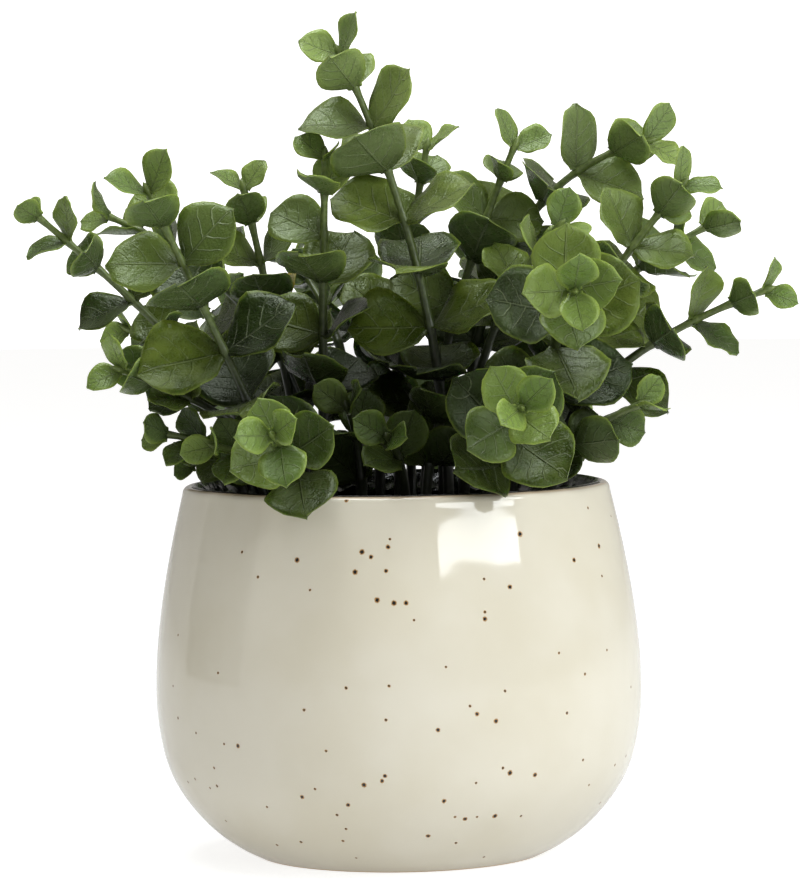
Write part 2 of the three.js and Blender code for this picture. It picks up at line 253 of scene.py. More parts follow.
# Speckles in the glaze that the photograph shows, by pixel, large and small.
LARGE_SPECKLES = [
    (346, 500), (297, 560), (362, 552), (371, 557), (388, 547), (355, 572), (386, 571), (377, 600),
    (394, 603), (406, 603), (238, 746), (438, 730), (477, 714), (496, 721), (485, 619), (510, 587),
    (520, 534), (599, 546), (574, 560), (510, 773), (302, 797), (348, 805), (364, 785), (385, 776),
    (382, 781), (444, 801), (465, 819), (495, 816), (428, 836), (535, 775),
]
SMALL_SPECKLES = [
    (242, 552), (390, 539), (414, 620), (310, 590), (258, 577), (178, 635), (218, 673), (173, 686),
    (178, 718), (196, 733), (224, 744), (304, 710), (326, 751), (346, 688), (389, 686), (386, 720),
    (446, 667), (470, 706), (505, 691), (485, 612), (484, 579), (588, 508), (611, 516), (602, 576),
    (559, 653), (607, 650), (585, 674), (631, 687), (567, 713), (583, 760), (615, 765), (626, 756),
    (503, 768), (476, 783), (214, 768), (188, 782), (195, 779), (210, 788), (217, 786), (315, 789),
    (226, 821), (267, 807), (337, 815), (346, 829), (356, 858), (343, 841), (277, 845), (301, 842),
    (455, 817), (477, 817), (521, 816), (456, 843), (484, 857), (589, 785), (600, 803),
]
LARGE_SPECKLE = 0.62
SMALL_SPECKLE = 0.38
SPECKLE_VARIES = (0.85, 1.15)
# Those scattered behind: how many, which share of them is large, how they vary in size, and where
# they lie, by the share of the outside's curve and of the half turn from right to left.
SPECKLES_BEHIND = 110
LARGE_BEHIND = 0.3
BEHIND_VARIES = (0.8, 1.2)
BEHIND_SHARES = (0.1, 1)
BEHIND_TURNS = (0.02, 0.98)
# A speckle's brown halo and dark core, from where each begins to where it is full, in its radii.
HALO = (1.45, 0.95)
CORE = (0.9, 0.65)
# The glaze turns brown on the lip and leaves the foot bare, between these heights in metres.
BROWN_LIP = ((POT_HIGH - 0.6) * MM, (POT_HIGH + 0.1) * MM)
BARE_FOOT = (0.0006, 0.0002)

# How finely a line of sight is set against the pot's outside, and from which depth in front of it.
CURVE_STEPS = 200
HALVINGS = 40
NEAREST_DEPTH = -90.0


# ---- Small helpers ----

def unit(vector):
    return vector / np.linalg.norm(vector)


def shade(hex_colour):
    """A colour as Blender takes it, from the six figures that screens use."""
    parts = [int(hex_colour[at:at + 2], 16) / 255 for at in (0, 2, 4)]
    return tuple(p / 12.92 if p < 0.04045 else ((p + 0.055) / 1.055) ** 2.4 for p in parts) + (1,)


def grid(rows, columns, start=0, closed=False):
    """The quads of a grid of points, row by row; closed joins each row's end to its beginning."""
    ends = columns if closed else columns - 1
    return [
        (
            start + row * columns + column,
            start + (row + 1) * columns + column,
            start + (row + 1) * columns + (column + 1) % columns,
            start + row * columns + (column + 1) % columns,
        )
        for row in range(rows - 1)
        for column in range(ends)
    ]


def closed_ends(quads, count, around):
    """The quads turned over, with a flat face over the first and over the last ring of points."""
    ends = [tuple(reversed(range(around))), tuple(range(count - around, count))]
    return [tuple(reversed(face)) for face in quads] + ends


def piece(name, points, faces, materials, nodes, face_materials=None):
    """A smooth mesh from points in millimetres that stands for the named solids."""
    mesh = bpy.data.meshes.new(name)
    mesh.from_pydata((np.asarray(points) * MM).tolist(), [], faces)
    for material in materials:
        mesh.materials.append(material)
    if face_materials is not None:
        mesh.polygons.foreach_set("material_index", face_materials)
    mesh.shade_smooth()
    made = bpy.data.objects.new(name, mesh)
    bpy.context.scene.collection.objects.link(made)
    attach(made, "root")
    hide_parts(*nodes)
    return made


def keep_values(made, name, values, domain="POINT"):
    """Stores one number, or one vector, for each point or face, for the material to read."""
    values = np.asarray(values, np.float32)
    kind, field = ("FLOAT", "value") if values.ndim == 1 else ("FLOAT_VECTOR", "vector")
    attribute = made.data.attributes.new(name, kind, domain)
    attribute.data.foreach_set(field, values.ravel())


# ---- The camera ----

def make_camera():
    data = bpy.data.cameras.new("camera")
    data.sensor_width = SENSOR
    data.lens = SENSOR * FOCAL_PIXELS / PHOTO_HIGH
    camera = bpy.data.objects.new("camera", data)
    camera.matrix_world = (
        Matrix.Translation(Vector(CAMERA_PLACE) * MM)
        @ Matrix.Rotation(math.radians(90 - CAMERA_DOWN), 4, "X")
        @ Matrix.Rotation(math.radians(-CAMERA_ROLL), 4, "Z")
    )
    bpy.context.scene.collection.objects.link(camera)
    bpy.context.scene.camera = camera
    return camera


def sight(camera, pixel):
    """Where the camera stands, and the direction in which it sees a pixel of the photograph."""
    x, y = pixel
    ray = Vector((x - PHOTO_WIDE / 2, PHOTO_HIGH / 2 - y, -FOCAL_PIXELS))
    return np.array(CAMERA_PLACE, float), unit(np.array(camera.matrix_world.to_3x3() @ ray))


# ---- The pot's outline ----

def outside(share):
    """A point (radius, height) of the smooth curve through the pot's outside points."""
    at = min(share, 1) * (len(POT_OUTSIDE) - 1)
    first = min(int(at), len(POT_OUTSIDE) - 2)
    t = at - first
    last = len(POT_OUTSIDE) - 1
    p0, p1, p2, p3 = (
        np.array(POT_OUTSIDE[min(max(first + step, 0), last)], float) for step in (-1, 0, 1, 2)
    )
    v0, v1 = (p2 - p0) / 2, (p3 - p1) / 2
    return (2 * p1 - 2 * p2 + v0 + v1) * t**3 + (-3 * p1 + 3 * p2 - 2 * v0 - v1) * t**2 + v0 * t + p1


def inwards(share, distance):
    """The same curve moved into the wall by a distance."""
    here = outside(share)
    along = unit(outside(min(share + 1e-3, 1)) - outside(max(share - 1e-3, 0)))
    return here + distance * np.array([-along[1], along[0]])


def turned(profile, columns):
    """The points of a profile of (radius, height) turned about the pot's axis."""
    angles = np.linspace(0, 2 * math.pi, columns, endpoint=False)
    radius, height = np.asarray(profile).T
    return np.stack([
        np.outer(radius, np.cos(angles)),
        np.outer(radius, np.sin(angles)),
        np.outer(height, np.ones(columns)),
    ], -1).reshape(-1, 3)


def pot_profile():
    """From the axis underneath, up the outside, over the lip and down the inside to the axis."""
    shares = np.linspace(0, 1, POT_RINGS)
    angles = np.linspace(0, math.pi, LIP_RINGS + 1)[1:]
    half = POT_WALL / 2
    lip = [(LIP_MIDDLE + half * math.cos(a), LIP_Z + half * math.sin(a)) for a in angles]
    inside = [inwards(share, POT_WALL) for share in np.linspace(*INSIDE_SHARES, POT_RINGS // 2)]
    foot = [(radius, 0) for radius in FLAT_RINGS]
    floor = [(radius, POT_FLOOR) for radius in reversed(FLAT_RINGS)]
    return foot + [outside(share) for share in shares] + lip + inside + floor


def where_on_pot(origin, direction):
    """The first point of the pot's outside on a line of sight, or None if the line misses it."""
    radii, heights = np.array([outside(share) for share in np.linspace(0, 1, CURVE_STEPS)]).T

    def outside_by(depth):
        point = origin + direction * (depth - origin[1]) / direction[1]
        return math.hypot(point[0], point[1]) - np.interp(point[2], heights, radii)

    near, far = NEAREST_DEPTH, 0.0
    if outside_by(far) > 0:
        return None
    for _ in range(HALVINGS):
        middle = (near + far) / 2
        near, far = (middle, far) if outside_by(middle) > 0 else (near, middle)
    return origin + direction * (far - origin[1]) / direction[1]


# ---- Materials ----

class Material:
    """Short forms for the nodes of one material, which end in its shader's sockets."""

    def __init__(self, name, **settings):
        self.made = bpy.data.materials.new(name)
        self.made.use_nodes = True
        self.tree = self.made.node_tree
        self.shader = self.tree.nodes["Principled BSDF"]
        for socket, value in settings.items():
            self.shader.inputs[socket.replace("_", " ")].default_value = value

    def node(self, kind, inputs=(), **settings):
        made = self.tree.nodes.new(kind)
        for name, value in settings.items():
            setattr(made, name, value)
        for socket, value in dict(inputs).items():
            self.feed(made.inputs[socket], value)
        return made

    def feed(self, socket, value):
        if isinstance(value, bpy.types.NodeSocket):
            self.tree.links.new(value, socket)
        else:
            socket.default_value = value

    def math(self, operation, *values, clamp=False):
        node = self.node("ShaderNodeMath", enumerate(values), operation=operation, use_clamp=clamp)
        return node.outputs[0]

    def ramp(self, value, low, high, to_low=0.0, to_high=1.0):
        """Goes smoothly from to_low to to_high while the value goes from low to high."""
        inputs = {"Value": value, 1: low, 2: high, 3: to_low, 4: to_high}
        node = self.node("ShaderNodeMapRange", inputs, interpolation_type="SMOOTHSTEP")
        return node.outputs[0]

    def mix(self, share, first, second):
        node = self.node("ShaderNodeMix", {0: share, 6: first, 7: second}, data_type="RGBA")
        return node.outputs[2]

    def value_of(self, name):
        return self.node("ShaderNodeAttribute", attribute_name=name).outputs["Fac"]

    def vector_of(self, name):
        return self.node("ShaderNodeAttribute", attribute_name=name).outputs["Vector"]

    def place(self):
        return self.node("ShaderNodeTexCoord").outputs["Object"]

    def noise(self, scale, detail=2.0, vector=None):
        """Noise with this many waves in a metre."""
        inputs = {"Vector": vector or self.place(), "Scale": scale, "Detail": detail}
        return self.node("ShaderNodeTexNoise", inputs).outputs["Fac"]

    def bump(self, height, depth, strength):
        """Lets the surface seem raised by a height times a depth in metres."""
        inputs = {"Height": height, "Distance": depth, "Strength": strength}
        self.feed(self.shader.inputs["Normal"], self.node("ShaderNodeBump", inputs).outputs[0])

    def set(self, socket, value):
        self.feed(self.shader.inputs[socket], value)


def glaze_material():
    """Cream glaze with iron speckles, brown where it thins on the lip, bare clay underneath."""
    look = Material("glaze", IOR=1.52)
    place = look.place()
    height = look.node("ShaderNodeSeparateXYZ", {0: place}).outputs[2]
    cloud = look.noise(28, 3)
    body = look.mix(look.ramp(cloud, 0.3, 0.7), shade("dbd4c0"), shade("e1dbca"))
    lip = look.ramp(look.math("ADD", height, look.math("MULTIPLY", cloud, 0.0006)), *BROWN_LIP)
    body = look.mix(look.math("MULTIPLY", lip, 0.6), body, shade("a88458"))
    ragged = look.math("MULTIPLY", look.math("SUBTRACT", look.noise(1800, 3), 0.5), 0.9)
    nearest = None
    for rank in ("nearest", "second"):
        ends = {0: place, 1: look.vector_of(rank)}
        gap = look.node("ShaderNodeVectorMath", ends, operation="DISTANCE")
        share = look.math("DIVIDE", gap.outputs["Value"], look.value_of(rank + "_size"))
        nearest = share if nearest is None else look.math("MINIMUM", nearest, share)
    nearest = look.math("ADD", nearest, ragged)
    halo = look.ramp(nearest, *HALO)
    core = look.ramp(nearest, *CORE)
    body = look.mix(look.math("MULTIPLY", halo, 0.9), body, shade("a97626"))
    body = look.mix(core, body, shade("1b1812"))
    bare = look.ramp(height, *BARE_FOOT)
    look.set("Base Color", look.mix(bare, body, shade("c9b08e")))
    look.set("Roughness", look.math("ADD", look.math("MULTIPLY", bare, 0.7), 0.05))
    waves = look.math("ADD", look.noise(60, 1), look.math("MULTIPLY", core, -0.12))
    look.bump(waves, 0.0005, 0.25)
    return look.made


def film_material():
    look = Material("film", Roughness=0.14, IOR=1.5)
    look.set("Base Color", look.mix(look.noise(300, 3), shade("050505"), shade("0e0e0d")))
    look.bump(look.noise(420, 4), 0.0006, 0.6)
    return look.made


def filling_material():
    look = Material("filling", Roughness=0.95)
    crumb = look.noise(900, 5)
    look.set("Base Color", look.mix(look.ramp(crumb, 0.35, 0.7), shade("15100c"), shade("3a2c20")))
    look.bump(crumb, 0.001, 0.9)
    return look.made


def leaf_material():
    """Satin plastic: veins from the leaf's own coordinates, paler young leaves, edges and undersides,
    with painted light through the edges and on the highest leaves, a painted glint on the veins, and
    painted shade towards each stalk and deep in the plant.
    """
    look = Material("leaf", IOR=1.47)
    both = look.node("ShaderNodeSeparateXYZ", {0: look.node("ShaderNodeUVMap").outputs[0]})
    along = both.outputs[0]
    across = look.math("MULTIPLY_ADD", both.outputs[1], 2.0, -1.0)
    aside = look.math("ABSOLUTE", across)
    young = look.value_of("young")
    tint = look.value_of("tint")
    under = look.value_of("under")
    shaded = look.value_of("shaded")

    midrib = look.ramp(aside, 0.05, 0.012)
    lean = look.math("MULTIPLY", look.math("POWER", aside, VEIN_BEND), VEIN_LEAN)
    shift = look.math("MULTIPLY", look.math("SIGN", across), VEIN_SHIFT)
    mottle = look.noise(160, 4)
    waver = look.math("MULTIPLY_ADD", look.math("SUBTRACT", mottle, 0.5), VEIN_WAVER, shift)
    phase = look.math("ADD", look.math("SUBTRACT", along, lean), waver)
    phase = look.math("MULTIPLY_ADD", phase, SIDE_VEINS, tint)
    gap = look.math("ABSOLUTE", look.math("SUBTRACT", look.math("FRACT", phase), 0.5))
    side = look.math("MULTIPLY", look.ramp(gap, 0.07, 0.015), look.ramp(aside, 0.85, 0.45))
    side = look.math("MULTIPLY", side, look.ramp(look.noise(90, 2), 0.4, 0.6, 0.25, 1.0))
    veins = look.math("MAXIMUM", midrib, look.math("MULTIPLY", side, 0.8))

    fresh = look.mix(look.ramp(mottle, 0.3, 0.7), shade("4a5a16"), shade("677728"))
    old = look.mix(look.ramp(mottle, 0.3, 0.7), shade("182407"), shade("2c3b12"))
    body = look.mix(look.ramp(tint, 0.15, 1.1), old, fresh)
    body = look.mix(young, body, look.mix(tint, shade("546c2d"), shade("7b9046")))
    body = look.mix(look.math("MULTIPLY", under, 0.6), body, shade("57663f"))
    # Painted shade: each leaf darkens towards its stalk, where the leaves crowd together.
    body = look.mix(look.ramp(along, 0.45, 0.0, 0.0, 0.5), body, shade("141c06"))
    # Painted light: the highest leaves are painted paler, as if lit from above.
    height = look.node("ShaderNodeSeparateXYZ", {0: look.place()}).outputs[2]
    body = look.mix(look.ramp(height, 0.175, 0.235, 0.0, 0.25), body, shade("a0b070"))
    # Paler rim: partly the leaf's own lighter margin and partly painted light shining through the thin
    # edge; young leaves get a wider painted glow.
    edge = look.math("MULTIPLY", look.ramp(aside, 0.9, 1.0), 0.45)
    body = look.mix(edge, body, shade("8fa23c"))
    glow = look.math("MULTIPLY", look.ramp(aside, 0.6, 1.0, 0.0, 0.4), young)
    body = look.mix(glow, body, shade("94a845"))
    ochre = look.math("MULTIPLY", look.value_of("ochre"), look.ramp(mottle, 0.35, 0.6, 0.4, 1.0))
    body = look.mix(ochre, body, shade("93800f"))
    # Paler veins: partly their own paler colour and partly a painted glint, where raised veins would
    # catch the light.
    vein_tone_and_glint = look.math("MAXIMUM", look.math("MULTIPLY", midrib, 0.4), side)
    body = look.mix(look.math("MULTIPLY", vein_tone_and_glint, 0.3), body, shade("b4c092"))
    # Painted shade: leaves low and deep inside the plant are darkened towards a near black green, and
    # their sheen is turned down.
    body = look.mix(look.math("MULTIPLY", shaded, 0.82), body, shade("0c1104"))
    look.set("Base Color", body)
    look.set("Specular IOR Level", look.math("MULTIPLY_ADD", shaded, -0.38, 0.52))
    grain = look.noise(1500, 3)
    look.set("Roughness", look.ramp(look.math("ADD", mottle, grain), 0.6, 1.4, 0.2, 0.42))
    relief = look.math("MULTIPLY_ADD", grain, 0.42, look.math("MULTIPLY", veins, 1.4))
    look.bump(look.math("ADD", relief, look.math("MULTIPLY", mottle, 1.4)), 0.0006, 0.9)
    look.shader.inputs["Specular Tint"].default_value = (0.88, 1, 0.7, 1)
    look.shader.inputs["Subsurface Weight"].default_value = 0.06
    look.shader.inputs["Subsurface Radius"].default_value = (0.6, 1.0, 0.2)
    look.shader.inputs["Subsurface Scale"].default_value = 0.002
    return look.made


def stem_material():
    look = Material("stem", Roughness=0.38, IOR=1.47)
    young = look.value_of("young")
    streaks = look.noise(700, 3)
    old = look.mix(look.ramp(streaks, 0.3, 0.7), shade("273114"), shade("3a4620"))
    fresh = look.mix(look.ramp(streaks, 0.3, 0.7), shade("58692f"), shade("738343"))
    body = look.mix(young, old, fresh)
    # Painted shade: stems deep inside the plant are darkened towards near black.
    shaded = look.math("MULTIPLY", look.value_of("shaded"), 0.85)
    look.set("Base Color", look.mix(shaded, body, shade("0a0c06")))
    look.bump(streaks, 0.0003, 0.5)
    return look.made


# ---- The leaf rule ----

def curve_point(sprig, t):
    root, tip, elbow = sprig["root"], sprig["tip"], sprig["elbow"]
    start = np.array([*root, FILLING_TOP], float)
    bend = np.array([*root, elbow], float)
    return (1 - t) ** 2 * start + 2 * (1 - t) * t * bend + t**2 * np.array(tip, float)


def curve_axis(sprig, t):
    step = 0.0001
    return unit(curve_point(sprig, min(t + step, 1)) - curve_point(sprig, max(t - step, 0)))


def turn_about(vector, axis, degrees):
    angle = math.radians(degrees)
    across = np.cross(axis, vector)
    kept = axis * (axis @ vector) * (1 - math.cos(angle))
    return vector * math.cos(angle) + across * math.sin(angle) + kept


def frame_along(axis):
    """The side and front of an upright stem, carried to another direction by the shortest turn."""
    lean = np.cross([0, 0, 1], axis)
    share = 1 / (1 + axis[2])

    def carried(vector):
        first = np.cross(lean, vector)
        return vector + first + np.cross(lean, first) * share

    return carried(np.array([1.0, 0, 0])), carried(np.array([0, -1.0, 0]))


def stem_radius(t):
    return STEM_ROOT + (STEM_TIP - STEM_ROOT) * t


def varied(measure, number):
    amount, ratio = VARIES[measure]
    return amount * ((number * ratio) % 1 - 0.5)


def half_width(u):
    """How wide a blade is at a fraction of its length, as a share of its half width."""
    inside = np.clip(u, 0, 1)
    return np.maximum(np.sin(math.pi * inside**BLADE_SKEW), 0) ** BLADE_ROUND


def blade_point(leaf, u, v):
    """Points of the blade's middle surface, cupped across and arched along its length."""
    u, v = np.asarray(u, float), np.asarray(v, float)
    half = leaf["wide"] / 2
    y = half * half_width(u) * v
    z = leaf["long"] * leaf["arch"] * u * u + leaf["cup"] * y * y / half
    return leaf["at"] + np.multiply.outer(leaf["long"] * u, leaf["along"]) \
        + np.multiply.outer(y, leaf["across"]) + np.multiply.outer(z, leaf["normal"])


def feelers(leaf):
    """Points spread over the facets of the plain blade, to feel for what is near."""
    corner = np.arange(BLADE_SIDES + 1)
    u = (1 - np.cos(2 * math.pi * corner / BLADE_SIDES)) / 2
    u[[0, -1]] = 0
    outline = blade_point(leaf, u, np.where(corner < BLADE_SIDES / 2, CORNER_OUT, -CORNER_OUT))
    steps = np.arange(FEELERS_PER_SIDE) / FEELERS_PER_SIDE
    edge = outline[:-1, None] + (outline[1:] - outline[:-1])[:, None] * steps[:, None]
    shares = np.arange(1, FEELER_RINGS + 1) / FEELER_RINGS
    return (leaf["hub"] + (edge.reshape(-1, 3) - leaf["hub"]) * shares[:, None, None]).reshape(-1, 3)


def turn_to_face(leaf, number):
    x, y, _ = leaf["at"]
    outwards = unit(np.array([FACING_SPREAD * x, y - FACING_BACK, FACING_RISE]))
    outwards = outwards - leaf["along"] * (outwards @ leaf["along"])
    sine = np.cross(leaf["normal"], outwards) @ leaf["along"]
    angle = math.degrees(math.atan2(sine, leaf["normal"] @ outwards))
    if angle > 90:
        angle -= 180
    if angle < -90:
        angle += 180
    share = np.linalg.norm(outwards) * (FACING + varied("facing", number))
    turn = share * min(max(angle, -MOST_FACING), MOST_FACING)
    leaf["normal"] = turn_about(leaf["normal"], leaf["along"], turn)


def leaf_at(sprig, t, pair, opposite, number, change):
    """One leaf of a pair: number counts all leaves, pair counts down from the tip."""
    spread_more, round_more, size = change
    axis = curve_axis(sprig, t)
    side, front = frame_along(axis)
    turn = sprig["turn"] + 90 * pair + 180 * opposite + varied("round", number) + round_more
    angle = math.radians(turn)
    out = side * math.cos(angle) + front * math.sin(angle)
    young = max(0, 1 - pair / YOUNG_PAIRS)
    spread = min(MOST_SPREAD, TIP_SPREAD + SPREAD_GROWTH * pair)
    opened = math.radians(max(LEAST_SPREAD, spread + varied("spread", number) + spread_more))
    long = sprig["leaf"] * (1 - YOUNG_SHORTER * young) * size * (1 + varied("long", number))
    leaf = {
        "sprig": sprig["name"],
        "pair": pair,
        "number": number,
        "young": young,
        "long": long,
        "wide": long * (OLD_WIDTH - YOUNG_NARROWER * young),
        "cup": CUP + varied("cup", number),
        "arch": ARCH + varied("arch", number),
        "at": curve_point(sprig, t) + out * ROOT_OUT * stem_radius(t),
        "along": axis * math.cos(opened) + out * math.sin(opened),
        "normal": axis * math.sin(opened) - out * math.cos(opened),
    }
    turn_to_face(leaf, number)
    leaf["across"] = np.cross(leaf["normal"], leaf["along"])
    leaf["hub"] = blade_point(leaf, 0.5, 0)
    leaf["feelers"] = feelers(leaf)
    return leaf


def lowest(radius):
    """The lowest that a leaf may hang at a distance from the pot's axis."""
    over = POT_HIGH + OVER_RIM
    hanging = over - (radius - RIM - OVER_RIM) / HANG_SLOPE
    outer = np.where(radius < RIM + OVER_RIM, over, hanging)
    return np.where(radius < MOUTH, FILLING_TOP + OVER_FILLING, outer)


def any_within(points, others, distance):
    gaps = points[:, None] - others[None]
    return bool((np.einsum("abc,abc->ab", gaps, gaps) < distance**2).any())


def is_clear(leaf, sprigs, grown):
    points = leaf["feelers"]
    if (points[:, 2] < lowest(np.hypot(points[:, 0], points[:, 1]))).any():
        return False
    for sprig in sprigs:
        if sprig["name"] == leaf["sprig"]:
            continue
        near = sprig["spine"][np.linalg.norm(sprig["spine"] - leaf["hub"], axis=1) < leaf["long"]]
        if len(near) and any_within(points, near, STEM_CLEAR):
            return False
    for other in grown:
        kin = other["sprig"] == leaf["sprig"]
        if kin and other["pair"] == leaf["pair"]:
            continue
        if np.linalg.norm(other["hub"] - leaf["hub"]) > other["long"] + leaf["long"]:
            continue
        if any_within(points, other["feelers"], KIN_CLEAR if kin else LEAF_CLEAR):
            return False
    return True


def pair_places(sprig, bare):
    """Where the pairs of a sprig sit on its curve, from the tip down to the stem's bare foot."""
    steps = np.linspace(0, 1, LENGTH_STEPS + 1)
    points = np.array([curve_point(sprig, t) for t in steps])
    lengths = np.concatenate([[0], np.cumsum(np.linalg.norm(np.diff(points, axis=0), axis=1))])
    places = []
    distance = lengths[-1]
    while distance > bare:
        places.append(float(np.interp(distance, lengths, steps)))
        distance -= min(MOST_GAP, TIP_GAP + GAP_GROWTH * (len(places) - 1))
    return places


def grow():
    """All sprigs, each with its leaves, in the order in which the solids are grown."""
    sprigs = []
    for name, (root, tip, elbow, turn, leaf, bare) in SPRIGS.items():
        sprig = {"name": name, "root": root, "tip": tip, "elbow": elbow, "turn": turn, "leaf": leaf}
        sprig["spine"] = np.array([curve_point(sprig, t) for t in np.linspace(0, 1, SPINE_STEPS + 1)])
        sprig["places"] = pair_places(sprig, bare)
        sprigs.append(sprig)
    grown = []
    number = 0
    for sprig in sprigs:
        for pair, t in enumerate(sprig["places"]):
            for opposite in (0, 1):
                number += 1
                for change in TRIES:
                    leaf = leaf_at(sprig, t, pair, opposite, number, change)
                    if is_clear(leaf, sprigs, grown):
                        grown.append(leaf)
                        break
    for sprig in sprigs:
        sprig["leaves"] = [leaf for leaf in grown if leaf["sprig"] == sprig["name"]]
    return sprigs


# ---- Fine leaves and stems ----

def fine_half(u, leaf, pointed):
    """Half the width of a fine blade in millimetres: a stalk, the blade, and a small point."""
    half = leaf["wide"] / 2
    blade = half * half_width(np.clip((u - BLADE_START) / (1 - BLADE_START), 0, 1))
    from_point = half * half_width(np.array(POINT_START))
    left = np.clip((POINT_END - u) / (POINT_END - POINT_START), 0, 1)
    blade = np.where(u > POINT_START, from_point * left**pointed, blade)
    stalk = STALK_HALF * np.clip(1 - (u - STALK_SHARE) / STALK_SHARE, 0, 1)
    return np.maximum(np.maximum(blade, stalk), TIP_HALF)


def fine_leaf(leaf, chance):
    """The points of one closed leaf: its upper grid and then its lower one."""
    share = (1 - np.cos(np.linspace(0, math.pi, LEAF_ROWS))) / 2
    u = share * POINT_END
    v = LEAF_ACROSS
    half = leaf["wide"] / 2
    pointed = chance.uniform(*POINTED)
    y = np.outer(fine_half(u, leaf, pointed), v)
    z = leaf["cup"] * y**2 / half + leaf["long"] * leaf["arch"] * (u**2)[:, None]
    waves = chance.uniform(*RIPPLE_WAVES)
    phase = chance.uniform(*RIPPLE_STARTS)
    wave = np.sin(2 * math.pi * (waves * u[:, None] + QUARTER * np.sign(v)) + phase)
    z = z + RIPPLE * half * np.abs(v) ** 3 * wave
    curled = np.clip((u - CURL_START) / (1 - CURL_START), 0, None)
    z = z - TIP_CURL * leaf["long"] * curled[:, None] ** 2
    thick = (EDGE_THICK + (LEAF_THICK - EDGE_THICK) * (1 - np.abs(v) ** 4)) * np.ones_like(z)
    rib = MIDRIB_DEEP * np.outer(1 - MIDRIB_FADES * u, np.exp(-((v / MIDRIB_HALF) ** 2)))
    middle = leaf["at"] + leaf["long"] * u[:, None, None] * leaf["along"]
    middle = middle + y[..., None] * leaf["across"]
    upper = middle + (z + thick / 2)[..., None] * leaf["normal"]
    lower = middle + (z - thick / 2 - rib)[..., None] * leaf["normal"]
    return np.concatenate([upper.reshape(-1, 3), lower.reshape(-1, 3)])


def leaf_faces():
    """The faces of a fine leaf: upper grid, lower grid turned over, and the strip between them."""
    columns = len(LEAF_ACROSS)
    count = LEAF_ROWS * columns
    upper = grid(LEAF_ROWS, columns)
    lower = [tuple(count + corner for corner in reversed(face)) for face in upper]
    rim = [row * columns for row in range(LEAF_ROWS)]
    rim += [(LEAF_ROWS - 1) * columns + column for column in range(1, columns)]
    rim += [row * columns + columns - 1 for row in range(LEAF_ROWS - 2, -1, -1)]
    rim += list(range(columns - 2, 0, -1))
    strip = [(a, a + count, b + count, b) for a, b in zip(rim, rim[1:] + rim[:1])]
    return np.array(upper + lower + strip)


def leaf_coordinates():
    """Where each point of a fine leaf lies on it: along from 0 to 1 and across from 0 to 1."""
    share = (1 - np.cos(np.linspace(0, math.pi, LEAF_ROWS))) / 2
    along, across = np.meshgrid(share, (LEAF_ACROSS + 1) / 2, indexing="ij")
    one_side = np.stack([along.ravel(), across.ravel()], -1)
    return np.concatenate([one_side, one_side])


def fine_stem(sprig):
    """A stem from its foot in the filling to the end of its bud: its points, how far up the stem
    each of them is as a share, and how many rings they make."""
    length = np.linalg.norm(np.diff(sprig["spine"], axis=0), axis=1).sum()
    places = np.array(sprig["places"])
    steps = np.array([-KNOT_STEP, 0, KNOT_STEP]) / length
    at_knots = np.clip(np.add.outer(steps, places), 0, 1).ravel()
    shares = np.unique(np.concatenate([np.linspace(0, 1, int(length / STEM_STEP)), at_knots]))
    foot = np.array([*sprig["root"], FILLING_TOP - HOLE_DEEP + FIT_GAP])
    rings = [(foot, np.array([0, 0, 1.0]), STEM_ROOT, 0.0)]
    for t in shares:
        near = np.min(np.abs(places - t)) * length
        knot = KNOT_PROUD * math.exp(-((near / KNOT_LONG) ** 2))
        rings.append((curve_point(sprig, t), curve_axis(sprig, t), stem_radius(t) + knot, t))
    top, axis, radius, _ = rings[-1]
    for share, wide in BUD_RINGS:
        rings.append((top + axis * BUD_LONG * share, axis, radius * wide, 1.0))
    angles = np.linspace(0, 2 * math.pi, STEM_ROUND, endpoint=False)
    ridged = 1 + RIDGE_PROUD * np.cos(STEM_RIDGES * angles)
    points = []
    for at, axis, radius, _ in rings:
        side, front = frame_along(axis)
        around = np.outer(np.cos(angles), side) - np.outer(np.sin(angles), front)
        points.append(at + radius * ridged[:, None] * around)
    return np.concatenate(points), np.repeat([t for *_, t in rings], STEM_ROUND), len(rings)


def stem_faces(rings):
    return closed_ends(grid(rings, STEM_ROUND, closed=True), rings * STEM_ROUND, STEM_ROUND)


def shaded_at(points):
    """How deep in the plant's own shade points lie, from 0 to 1."""
    reach = np.hypot(points[:, 0], points[:, 1]) - SHADE_REACH
    high = points[:, 2] - POT_HIGH - SHADE_HIGH
    return np.clip(1 - (np.maximum(reach, 0) + np.maximum(high, 0)) / SHADE_FADES, 0, 1)


